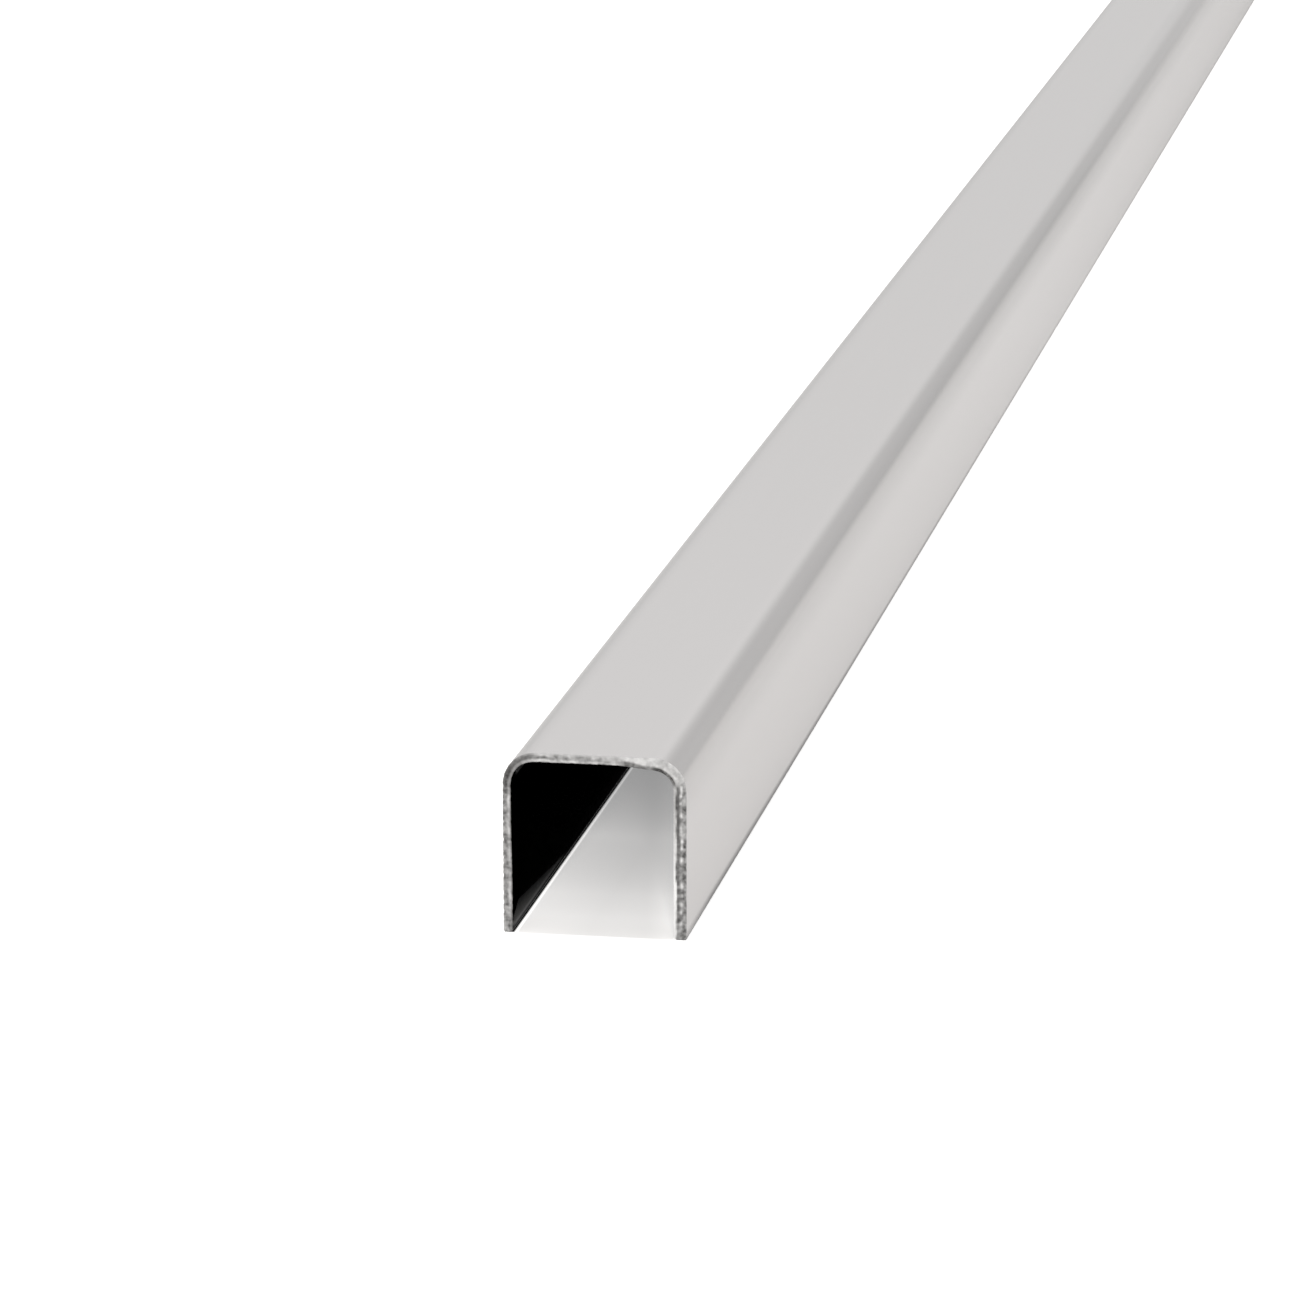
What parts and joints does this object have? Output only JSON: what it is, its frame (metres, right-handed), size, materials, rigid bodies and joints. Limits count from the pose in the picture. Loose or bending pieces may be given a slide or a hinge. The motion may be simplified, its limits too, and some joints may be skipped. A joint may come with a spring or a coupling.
{
  "type": "tile trim",
  "caption": "Straight U-section trim folded from thin stainless steel sheet, with two rounded bends, set between tiles so that its flat face shows.",
  "frame": {"origin": "on the plane of the leg edges, midway across the section and midway along the length", "axes": "+Y along the length, +Z from the leg edges towards the visible face, +X across the visible face"},
  "size_m": [0.01, 2.5, 0.01],
  "materials": {
    "stainless_steel": "satin, finely brushed along its length"
  },
  "bodies": {
    "root": {"u_profile": "stainless_steel"}
  },
  "joints": []
}
